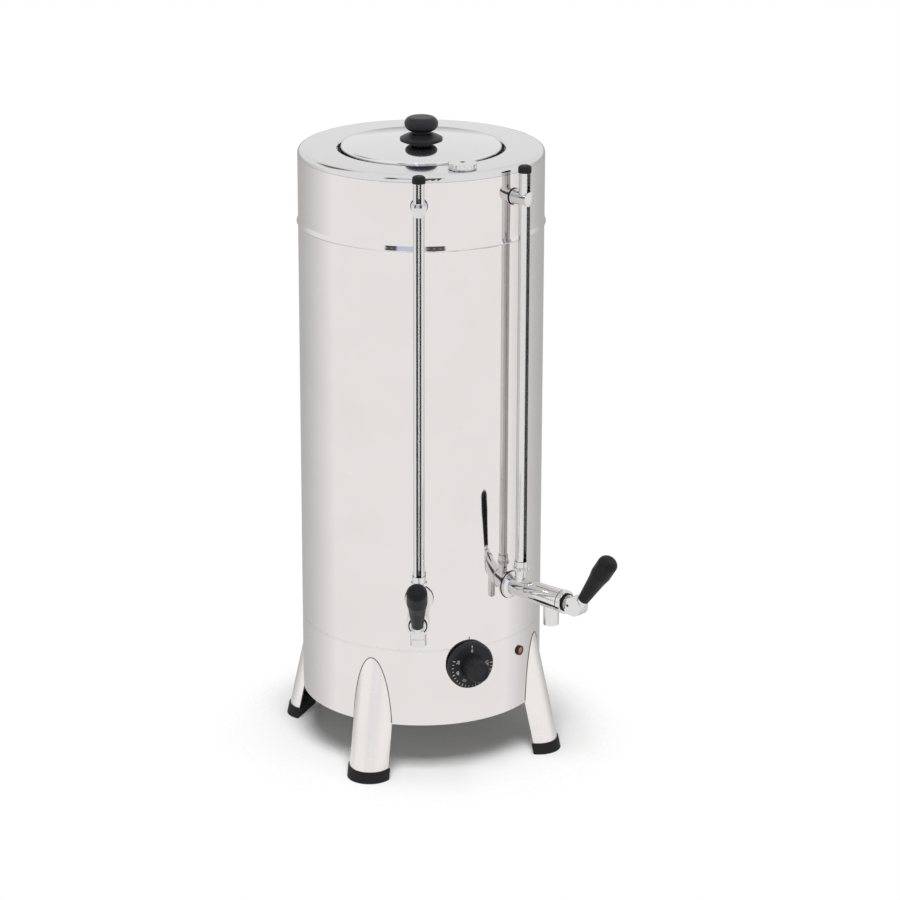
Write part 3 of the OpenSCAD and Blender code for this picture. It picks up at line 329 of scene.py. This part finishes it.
def moulding(name, colour, dust_colour, dust, grain_size, roughness, spread, grain_depth, gloss):
    """Moulded plastic or rubber."""
    material, tree, shader = start_material(name)
    skin = add_node(tree, "Group", {
        "Colour": (*colour, 1), "Dust Colour": (*dust_colour, 1), "Dust": dust, "Grain Size": grain_size,
        "Roughness": roughness, "Spread": spread}, node_tree=moulded_skin)
    bump = add_node(tree, "Bump", {"Height": skin.outputs["Height"], "Distance": grain_depth,
                                   "Strength": 1.0})
    shader.inputs["Specular IOR Level"].default_value = gloss
    tree.links.new(skin.outputs["Colour"], shader.inputs["Base Color"])
    tree.links.new(skin.outputs["Roughness"], shader.inputs["Roughness"])
    tree.links.new(bump.outputs["Normal"], shader.inputs["Normal"])
    return material


thermostat_plastic = moulding("thermostat_plastic", colour=(0.72, 0.66, 0.53),
                              dust_colour=(0.60, 0.53, 0.42), dust=0.5, grain_size=900.0,
                              roughness=0.45, spread=0.2, grain_depth=0.00002, gloss=0.4)
dress(thermostat_plastic, "thermostat_body")
gland_plastic = moulding("gland_plastic", colour=(0.012, 0.012, 0.013),
                         dust_colour=(0.045, 0.044, 0.042), dust=0.4, grain_size=1400.0,
                         roughness=0.42, spread=0.2, grain_depth=0.00002, gloss=0.25)
dress(gland_plastic, "cord_gland")


# The legs are bent channels of satin stainless steel, drawn lengthwise, cut to an arch at the top and
# welded to the skirt. Each stands in a moulded rubber foot.
satin_steel = metal("satin_steel", colour=(0.80, 0.772, 0.755), smear=(0.785, 0.757, 0.74),
                    stretch=(900, 900, 30), roughness=0.24, spread=0.05, line_depth=0.02,
                    wave_size=20.0, wave_height=0.00002)
dress(satin_steel, "leg_front_left", "leg_front_right", "leg_back_left", "leg_back_right")
foot_rubber = moulding("foot_rubber", colour=(0.013, 0.0125, 0.014),
                       dust_colour=(0.035, 0.034, 0.033), dust=0.3, grain_size=1600.0,
                       roughness=0.5, spread=0.25, grain_depth=0.00003, gloss=0.2)
dress(foot_rubber, "foot_front_left", "foot_front_right", "foot_back_left", "foot_back_right")


# The thermostat's dial is moulded in one: a flat skirt for the scale and a fluted grip. Its scale is
# printed in white on the skirt, and a short black line on the steel above it is what it is read against.
dial_plastic = moulding("dial_plastic", colour=(0.011, 0.011, 0.013),
                        dust_colour=(0.03, 0.03, 0.03), dust=0.25, grain_size=1800.0,
                        roughness=0.36, spread=0.18, grain_depth=0.00002, gloss=0.3)
dress(dial_plastic, "dial")
scale_white = moulding("scale_white", colour=(0.78, 0.78, 0.77),
                       dust_colour=(0.45, 0.45, 0.45), dust=0.35, grain_size=1500.0,
                       roughness=0.5, spread=0.2, grain_depth=0.00001, gloss=0.4)
index_black = moulding("index_black", colour=(0.012, 0.012, 0.012),
                       dust_colour=(0.08, 0.08, 0.08), dust=0.3, grain_size=1500.0,
                       roughness=0.5, spread=0.2, grain_depth=0.00001, gloss=0.3)
dial_z = 0.127
dial_face_y = -0.1380
ink = 0.00006
numbers = ("20", "40", "60", "80", "100", "120")
number_size = 0.0046
number_r = 0.0172
first_number = -68
number_step = -41
ticks_between = 4
tick_r = 0.0224
zero_tick_r = 0.0220
long_tick = (0.00075, 0.0030)
short_tick = (0.0006, 0.0020)
zero_tick = (0.0008, 0.0032)
index_line = (0.0009, 0.0030)
index_up = 0.0295


def on_dial(clock_deg, radius):
    """Where a mark lies on the dial's skirt: turned clockwise from the top, seen from the front."""
    lift = Matrix.Translation((0, dial_face_y - ink / 2, dial_z))
    turn = Matrix.Rotation(math.radians(clock_deg), 4, "Y")
    out = Matrix.Translation((0, 0, radius))
    stand = Matrix.Rotation(math.radians(90), 4, "X")
    return lift @ turn @ out @ stand


def printed_mark(mesh, size, matrix):
    """One short printed line with rounded ends, in relief by the thickness of its ink."""
    width, length = size
    made = bmesh.ops.create_circle(mesh, cap_ends=True, segments=12, radius=width / 2)
    verts = made["verts"]
    for v in verts:
        v.co.y += math.copysign((length - width) / 2, v.co.y)
    faces = list({f for v in verts for f in v.link_faces})
    grown = bmesh.ops.extrude_face_region(mesh, geom=faces)
    top = [g for g in grown["geom"] if isinstance(g, bmesh.types.BMVert)]
    bmesh.ops.translate(mesh, vec=(0, 0, ink), verts=top)
    bmesh.ops.transform(mesh, matrix=matrix @ Matrix.Translation((0, 0, -ink / 2)), verts=verts + top)


def meshed(curve):
    """Makes a drawn curve or outline a bmesh."""
    draft = bpy.data.objects.new(curve.name + "_draft", curve)
    data = bpy.data.meshes.new_from_object(draft)
    bpy.data.objects.remove(draft)
    mesh = bmesh.new()
    mesh.from_mesh(data)
    bpy.data.meshes.remove(data)
    return mesh


def printed_number(words, clock_deg):
    """A printed number, drawn as outlines and made a mesh before it is put in place."""
    name = "dial_number_" + words
    outline = bpy.data.curves.new(name, "FONT")
    outline.body = words
    outline.size = number_size
    outline.align_x = "CENTER"
    outline.align_y = "CENTER"
    outline.extrude = ink / 2
    outline.resolution_u = 4
    mesh = meshed(outline)
    bmesh.ops.transform(mesh, matrix=on_dial(clock_deg, number_r), verts=mesh.verts)
    keep(name, mesh, scale_white, "dial")


mesh = bmesh.new()
for step in range((len(numbers) - 1) * ticks_between + 1):
    tick = short_tick if step % ticks_between else long_tick
    printed_mark(mesh, tick, on_dial(first_number + number_step * step / ticks_between, tick_r))
printed_mark(mesh, zero_tick, on_dial(0, zero_tick_r))
keep("dial_ticks", mesh, scale_white, "dial")
for order, words in enumerate(numbers):
    printed_number(words, first_number + number_step * order)
printed_number("0", 0)
mesh = bmesh.new()
printed_mark(mesh, index_line, Matrix.Translation((0, -drum_r, dial_z + index_up))
             @ Matrix.Rotation(math.radians(90), 4, "X"))
keep("dial_index", mesh, index_black, "urn")


# The pilot lamp is a black moulded bezel clipped through the skirt, with a lens of amber acrylic that
# a small neon lamp lights from behind.
bezel_plastic = moulding("bezel_plastic", colour=(0.008, 0.008, 0.008),
                         dust_colour=(0.03, 0.03, 0.03), dust=0.2, grain_size=1400.0,
                         roughness=0.25, spread=0.15, grain_depth=0.00001, gloss=0.3)
dress(bezel_plastic, "pilot_bezel")
lamp_amber = moulding("lamp_amber", colour=(0.62, 0.17, 0.035),
                      dust_colour=(0.75, 0.28, 0.08), dust=0.6, grain_size=700.0,
                      roughness=0.16, spread=0.1, grain_depth=0.00003, gloss=0.5)
lens_shader = lamp_amber.node_tree.nodes["Principled BSDF"]
lens_shader.inputs["Subsurface Weight"].default_value = 0.25
lens_shader.inputs["Subsurface Radius"].default_value = (1.0, 0.35, 0.1)
lens_shader.inputs["Subsurface Scale"].default_value = 0.002
dress(lamp_amber, "pilot_lens")


# The lid is spun from the same polished sheet with a rolled edge, and lifts off by a black moulded knob
# held by one screw from below.
lid_steel = metal("lid_steel", colour=(0.725, 0.722, 0.73), smear=(0.705, 0.702, 0.71),
                  stretch=(900, 900, 40), roughness=0.035, spread=0.035, line_depth=0.01,
                  wave_size=9.0, wave_height=0.0001)
dress(lid_steel, "lid")
knob_plastic = moulding("knob_plastic", colour=(0.010, 0.010, 0.012),
                        dust_colour=(0.03, 0.03, 0.032), dust=0.25, grain_size=1300.0,
                        roughness=0.3, spread=0.16, grain_depth=0.00001, gloss=0.28)
dress(knob_plastic, "lid_knob")


# The taps, gauge fittings and filler cap are turned brass with bright chrome plate. The plate follows the
# turning marks under it, so the finest rings still show.
chrome_fittings = metal("chrome_fittings", colour=(0.68, 0.675, 0.67), smear=(0.65, 0.645, 0.64),
                        stretch=(260, 260, 260), roughness=0.04, spread=0.05, line_depth=0.03,
                        wave_size=70.0, wave_height=0.000012)
dress(chrome_fittings, "filler_cap")
for side in ("left", "right"):
    for piece in ("tap_flange", "tap_body", "bonnet", "lever_head", "guard_tube", "collar_nut", "post"):
        dress(chrome_fittings, side + "_" + piece)


# Rubber rings seal the urn: one under each tap flange and each post where they meet the wall, a thin one
# behind each bonnet, a flat washer on each bonnet's neck, and one on the pot's ledge round the lid. They
# are moulded or cut from cord. The black ring round the lid is painted shade: it darkens the gap between
# lid and deck, where shade falls.
seal_rubber = moulding("seal_rubber", colour=(0.008, 0.008, 0.008),
                       dust_colour=(0.04, 0.04, 0.04), dust=0.3, grain_size=1500.0,
                       roughness=0.6, spread=0.2, grain_depth=0.00003, gloss=0.2)
dress(seal_rubber, "left_seat_seal", "right_seat_seal")
tap_phi = 24
taps = (("left", -tap_phi), ("right", tap_phi))
tap_z = 0.2055
tap_steps = 96
post_z = 0.631
wall_seals = (("flange_seal", tap_z, 0.0148, 0.0002, 0.0010), ("post_seal", post_z, 0.0084, 0.0004, 0.0012))
bonnet_seal_x = 0.2023
bonnet_seal_r = 0.0117
bonnet_cord = 0.0010
washer_x = 0.20975
washer = ((-0.0007, 0.0086), (-0.0007, 0.0098), (0.0007, 0.0098), (0.0007, 0.0086))
lid_seal_z = 0.6586
lid_seal_r = 0.08625
lid_cord = 0.0026


def outward(phi):
    """Turns a piece made on the +X side to its place round the drum, phi from the front."""
    return Matrix.Rotation(math.radians(phi - 90), 4, "Z")


def swept(name, points, thick, closed, material, body):
    """A round cord or bead laid along points and made a mesh."""
    line = bpy.data.curves.new(name, "CURVE")
    line.dimensions = "3D"
    run = line.splines.new("POLY")
    run.points.add(len(points) - 1)
    for spot, point in zip(run.points, points):
        spot.co = (*point, 1)
    run.use_cyclic_u = closed
    line.bevel_depth = thick / 2
    line.bevel_resolution = 3
    line.use_fill_caps = not closed
    return smooth(keep(name, meshed(line), material, body))


def ring_on_wall(phi, height, radius, clear):
    """Points round a fitting where it meets the drum's wall."""
    points = []
    for turn_deg in range(0, 360, 5):
        turn = math.radians(turn_deg)
        across = radius * math.cos(turn)
        out = math.sqrt(drum_r ** 2 - across ** 2) + clear
        points.append(outward(phi) @ Vector((out, across, height + radius * math.sin(turn))))
    return points


def cord_ring(mesh, radius, thick, matrix):
    """A ring of round cord, spun about the matrix's own Z."""
    section = Matrix.Translation((radius, 0, 0)) @ Matrix.Rotation(math.radians(90), 4, "X")
    made = bmesh.ops.create_circle(mesh, segments=12, radius=thick / 2, matrix=section)
    edges = list({edge for v in made["verts"] for edge in v.link_edges})
    bmesh.ops.spin(mesh, geom=made["verts"] + edges, cent=(0, 0, 0), axis=(0, 0, 1), angle=math.tau,
                   steps=tap_steps, use_merge=True)
    bmesh.ops.transform(mesh, matrix=matrix, verts=mesh.verts)


def on_tap(phi, out):
    """A place on a tap's axis, with Z pointing out along it."""
    return (outward(phi) @ Matrix.Translation((out, 0, tap_z))
            @ Matrix.Rotation(math.radians(90), 4, "Y"))


for side, phi in taps:
    for seal, height, radius, clear, thick in wall_seals:
        swept(side + "_" + seal, ring_on_wall(phi, height, radius, clear), thick, True, seal_rubber, "urn")
    mesh = bmesh.new()
    cord_ring(mesh, bonnet_seal_r, bonnet_cord, on_tap(phi, bonnet_seal_x))
    smooth(keep(side + "_bonnet_seal", mesh, seal_rubber, "urn"))
    mesh = bmesh.new()
    turned(mesh, washer, on_tap(phi, washer_x), tap_steps)
    keep(side + "_neck_washer", mesh, seal_rubber, "urn")
# The ring round the lid is painted shade: a black cord laid in the gap between lid and deck so that the gap
# reads dark.
mesh = bmesh.new()
cord_ring(mesh, lid_seal_r, lid_cord, Matrix.Translation((0, 0, lid_seal_z)))
smooth(keep("lid_seal_shade", mesh, seal_rubber, "urn"))


# The thick front of each tap's barrel is a chromed sleeve with a rounded shoulder, and a wider ring on
# the bonnet holds it. The collar nut under each gauge has a band of fine teeth for the fingers.
sleeve = ((0.1556, 0.01002), (0.1556, 0.01020), (0.1558, 0.01062), (0.1562, 0.01094), (0.1567, 0.01113),
          (0.1574, 0.01122), (0.1972, 0.01180), (0.2018, 0.01182), (0.2018, 0.01177), (0.1972, 0.01177),
          (0.1972, 0.01002))
bonnet_ring = ((0.2028, 0.01177), (0.2028, 0.01215), (0.2032, 0.01250), (0.2082, 0.01250),
               (0.2088, 0.01190), (0.2088, 0.00855), (0.2070, 0.00855), (0.2070, 0.01030),
               (0.2042, 0.01030))
tap_crease = 40
gauge_r = 0.1445
nut_z = 0.2263
nut_band = 0.0029
nut_bore_r = 0.0080
teeth = 48
tooth_foot_r = 0.0083
tooth_tip = 1.045
for side, phi in taps:
    for name, profile in (("barrel_sleeve", sleeve), ("bonnet_ring", bonnet_ring)):
        mesh = bmesh.new()
        turned(mesh, profile, on_tap(phi, 0), tap_steps)
        creased(keep(side + "_" + name, mesh, chrome_fittings, "urn"), tap_crease)
    mesh = bmesh.new()
    rim = bmesh.ops.create_circle(mesh, segments=2 * teeth, radius=tooth_foot_r)["verts"]
    for v in rim[1::2]:
        v.co *= tooth_tip
    bmesh.ops.create_circle(mesh, segments=2 * teeth, radius=nut_bore_r)
    bmesh.ops.bridge_loops(mesh, edges=list(mesh.edges))
    grown = bmesh.ops.extrude_face_region(mesh, geom=list(mesh.faces))["geom"]
    top = [g for g in grown if isinstance(g, bmesh.types.BMVert)]
    bmesh.ops.translate(mesh, vec=(0, 0, nut_band), verts=top)
    on_gauge = outward(phi) @ Matrix.Translation((gauge_r, 0, nut_z))
    bmesh.ops.transform(mesh, matrix=on_gauge, verts=mesh.verts)
    keep(side + "_nut_teeth", mesh, chrome_fittings, "urn")


# Each leg is welded to the skirt all round its arch. The bead is thin, and its dark colour is painted
# shade:
# it stands in for the shadow in the gap where the leg's arch meets the skirt, so it shows as a dark line.
weld_shade_steel = metal("weld_shade_steel", colour=(0.17, 0.155, 0.145), smear=(0.30, 0.27, 0.24),
                   stretch=(400, 400, 400), roughness=0.35, spread=0.2, line_depth=0.4,
                   wave_size=120.0, wave_height=0.00005)
legs = (("front_left", -47), ("front_right", 47), ("back_right", 135), ("back_left", 225))
leg_r = 0.023
leg_axis_r = 0.136
lean = math.radians(12.5)
skirt_foot = 0.0605
leg_bead = 0.0011
for leg, phi in legs:
    points = []
    for turn_deg in range(-78, 79, 2):
        turn = math.radians(turn_deg)
        across = leg_r * math.sin(turn)
        out = math.sqrt(drum_r ** 2 - across ** 2)
        along = (leg_axis_r + leg_r * math.cos(turn) * math.cos(lean) - out) / math.sin(lean)
        up = along * math.cos(lean) + leg_r * math.cos(turn) * math.sin(lean)
        if up > skirt_foot:
            points.append(outward(phi) @ Vector((out, across, up)))
    swept(leg + "_leg_weld_shade", points, leg_bead, False, weld_shade_steel, "urn")


# Inside each tap a coil spring of drawn steel wire presses the plunger home. It is wound cold, cut and
# ground flat at its ends, and stays a little oily.
spring_steel = metal("spring_steel", colour=(0.50, 0.50, 0.50), smear=(0.38, 0.37, 0.36),
                     stretch=(1200, 1200, 1200), roughness=0.25, spread=0.15, line_depth=0.2,
                     wave_size=90.0, wave_height=0.00002)
coil_r = 0.00515
wire = 0.0011
coil_in = 0.18228
coil_out = 0.19402
coil_turns = 5
steps_per_turn = 24
for side, phi in taps:
    points = []
    for step in range(coil_turns * steps_per_turn + 1):
        turn = math.tau * step / steps_per_turn
        along = coil_in + wire / 2 + (coil_out - coil_in - wire) * step / (coil_turns * steps_per_turn)
        points.append(on_tap(phi, along) @ Vector((coil_r * math.cos(turn), coil_r * math.sin(turn), 0)))
    coil = swept(side + "_coil", points, wire, False, spring_steel, "urn")
    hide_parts(side + "_spring")
    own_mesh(coil)


# The handles are compression moulded in black thermoset on a threaded stud. They come smooth from the
# mould, with a slight gloss that use wears dull in patches.
handle_plastic = moulding("handle_plastic", colour=(0.004, 0.004, 0.005),
                          dust_colour=(0.02, 0.02, 0.022), dust=0.3, grain_size=1100.0,
                          roughness=0.28, spread=0.14, grain_depth=0.00001, gloss=0.2)
dress(handle_plastic, "left_handle", "right_handle")


# Each gauge is a thick glass tube inside the slotted guard. It is drawn in lengths, cut and fire polished,
# and a moulded black rubber cap pushed over the guard closes it at the top.
gauge_glass, tree, shader = start_material("gauge_glass")
shader.inputs["Base Color"].default_value = (0.97, 0.97, 0.97, 1)
shader.inputs["Transmission Weight"].default_value = 1.0
shader.inputs["IOR"].default_value = 1.5
skin = add_node(tree, "Group", {"Stretch": (700, 700, 20), "Roughness": 0.005, "Spread": 0.03,
                                "Line Depth": 0.05, "Wave Size": 60.0}, node_tree=polish_marks)
bump = add_node(tree, "Bump", {"Height": skin.outputs["Height"], "Distance": 0.00001, "Strength": 1.0})
tree.links.new(skin.outputs["Roughness"], shader.inputs["Roughness"])
tree.links.new(bump.outputs["Normal"], shader.inputs["Normal"])
dress(gauge_glass, "left_glass", "right_glass")
cap_rubber = moulding("cap_rubber", colour=(0.007, 0.007, 0.0085),
                      dust_colour=(0.035, 0.035, 0.036), dust=0.35, grain_size=1500.0,
                      roughness=0.45, spread=0.2, grain_depth=0.00003, gloss=0.22)
dress(cap_rubber, "left_gauge_cap", "right_gauge_cap")


# The floor of the studio is a pale matt sheet that fades into the white round it. It keeps the urn's
# shadow, and it isn't part of the urn.
floor_r = 0.25
full_floor_r = 0.125
mesh = bmesh.new()
bmesh.ops.create_circle(mesh, cap_ends=True, cap_tris=True, segments=96, radius=floor_r)
data = bpy.data.meshes.new("studio_floor")
mesh.to_mesh(data)
mesh.free()
studio_floor = bpy.data.objects.new("studio_floor", data)
bpy.context.scene.collection.objects.link(studio_floor)
pale_floor, tree, shader = start_material("pale_floor")
shader.inputs["Base Color"].default_value = (0.92, 0.92, 0.92, 1)
shader.inputs["Roughness"].default_value = 0.9
shader.inputs["Specular IOR Level"].default_value = 0.0
away = add_node(tree, "VectorMath", {0: add_node(tree, "TexCoord").outputs["Object"]}, operation="LENGTH")
fade = span(tree, away.outputs["Value"], floor_r, full_floor_r)
fade.node.interpolation_type = "SMOOTHERSTEP"
tree.links.new(fade, shader.inputs["Alpha"])
data.materials.append(pale_floor)


# The light: a wide soft lamp high in front, which throws the shadow back under the urn but isn't mirrored,
# a small lamp beside it for the glints, and a white room. The steel mirrors that room: greyer low down
# behind the urn, a dark wall round a bluish window behind the camera, and a dark, warm corner high up.
lamps = (("front_lamp", 58.0, 1.1, (-0.52, -1.19, 2.15), (0, 0, 0.1), False),
         ("small_lamp", 0.5, 0.10, (-0.95, -1.60, 2.00), (0, 0, 0.4), True))
for name, power, size, place, aim, mirrored in lamps:
    lamp = bpy.data.lights.new(name, "AREA")
    lamp.energy = power
    lamp.size = size
    holder = bpy.data.objects.new(name, lamp)
    holder.visible_glossy = mirrored
    holder.matrix_world = (Matrix.Translation(place)
                           @ (Vector(aim) - Vector(place)).to_track_quat("-Z", "Y").to_matrix().to_4x4())
    bpy.context.scene.collection.objects.link(holder)

back = (0.3991, 0.9169, 0.0)
front = (-0.3991, -0.9169, 0.0)
right = (0.9169, -0.3991, 0.0)
room_level = 1.05
even_level = 0.22
white = (1, 1, 1, 1)
warm = (1.0, 0.86, 0.72, 1)
bluish = (0.70, 0.82, 1.0, 1)


def toward(tree, look, way):
    """How far a direction points one way."""
    return add_node(tree, "VectorMath", {0: look, 1: way}, operation="DOT_PRODUCT").outputs["Value"]


def zone(tree, value, rise, fall, full=1.0):
    """A mask that rises over one range of a value and falls over another."""
    return math_node(tree, "MULTIPLY", span(tree, value, *rise), span(tree, value, *fall, full, 0.0))


room = bpy.data.worlds.new("studio_room")
bpy.context.scene.world = room
room.use_nodes = True
tree = room.node_tree
tree.nodes.clear()
look = add_node(tree, "TexCoord").outputs["Generated"]
up = add_node(tree, "SeparateXYZ", {0: look}).outputs["Z"]
round_room = math_node(tree, "ARCTAN2", toward(tree, look, right), toward(tree, look, front))
grey = math_node(tree, "MULTIPLY", span(tree, toward(tree, look, back), 0.0, 1.0, 0.0, 0.6),
                 span(tree, up, -0.02, 0.12, 1.0, 0.2))
wall_zone = math_node(tree, "MULTIPLY", zone(tree, up, (0.10, 0.18), (0.45, 0.68)),
                      zone(tree, round_room, (-0.60, -0.57), (0.38, 0.42)))
window = zone(tree, round_room, (-0.41, -0.37), (0.07, 0.11))
wall = math_node(tree, "MULTIPLY", wall_zone, span(tree, window, 0.0, 1.0, 0.95, 0.15))
pane = math_node(tree, "MULTIPLY", wall_zone, window)
corner = math_node(tree, "MULTIPLY", zone(tree, up, (0.50, 0.60), (0.76, 0.88)),
                   zone(tree, round_room, (-2.60, -2.40), (-1.95, -1.75), full=0.85))
dark = math_node(tree, "MAXIMUM", math_node(tree, "MAXIMUM", grey, wall), corner)
level = math_node(tree, "SUBTRACT", room_level, dark)
tint = shade(tree, shade(tree, white, warm, corner), bluish, pane)
# The camera sees a plain white room, mirrors and glass see the one above, and all else is lit evenly.
path = add_node(tree, "LightPath").outputs
not_camera = math_node(tree, "SUBTRACT", 1.0, path["Is Camera Ray"])
seen_level = math_node(tree, "ADD", math_node(tree, "MULTIPLY", level, not_camera), path["Is Camera Ray"])
seen = math_node(tree, "MAXIMUM", path["Is Camera Ray"],
                 math_node(tree, "MAXIMUM", path["Is Glossy Ray"], path["Is Transmission Ray"]))
even = add_node(tree, "Background", {"Color": white, "Strength": even_level})
shown = add_node(tree, "Background", {"Color": tint, "Strength": seen_level})
both = add_node(tree, "MixShader", {0: seen, 1: even.outputs[0], 2: shown.outputs[0]})
add_node(tree, "OutputWorld", {"Surface": both.outputs[0]})


# The camera stands where the photograph was taken: in front, a little to the left and above the lid.
# A long lens keeps the drum's sides nearly upright.
camera_place = (-1.32941, -3.13189, 1.46423)
camera_turn = math.radians(-23.5214)
camera_down = math.radians(18.4836)
camera_roll = 0.0026
view = bpy.data.cameras.new("camera")
view.sensor_width = 36.0
view.lens = 132.85
view.clip_end = 30.0
camera = bpy.data.objects.new("camera", view)
camera.matrix_world = (Matrix.Translation(camera_place)
                       @ Matrix.Rotation(camera_turn, 4, "Z")
                       @ Matrix.Rotation(math.radians(90) - camera_down, 4, "X")
                       @ Matrix.Rotation(camera_roll, 4, "Z"))
bpy.context.scene.collection.objects.link(camera)
bpy.context.scene.camera = camera
bpy.context.scene.view_settings.view_transform = "Standard"

bpy.context.view_layer.update()
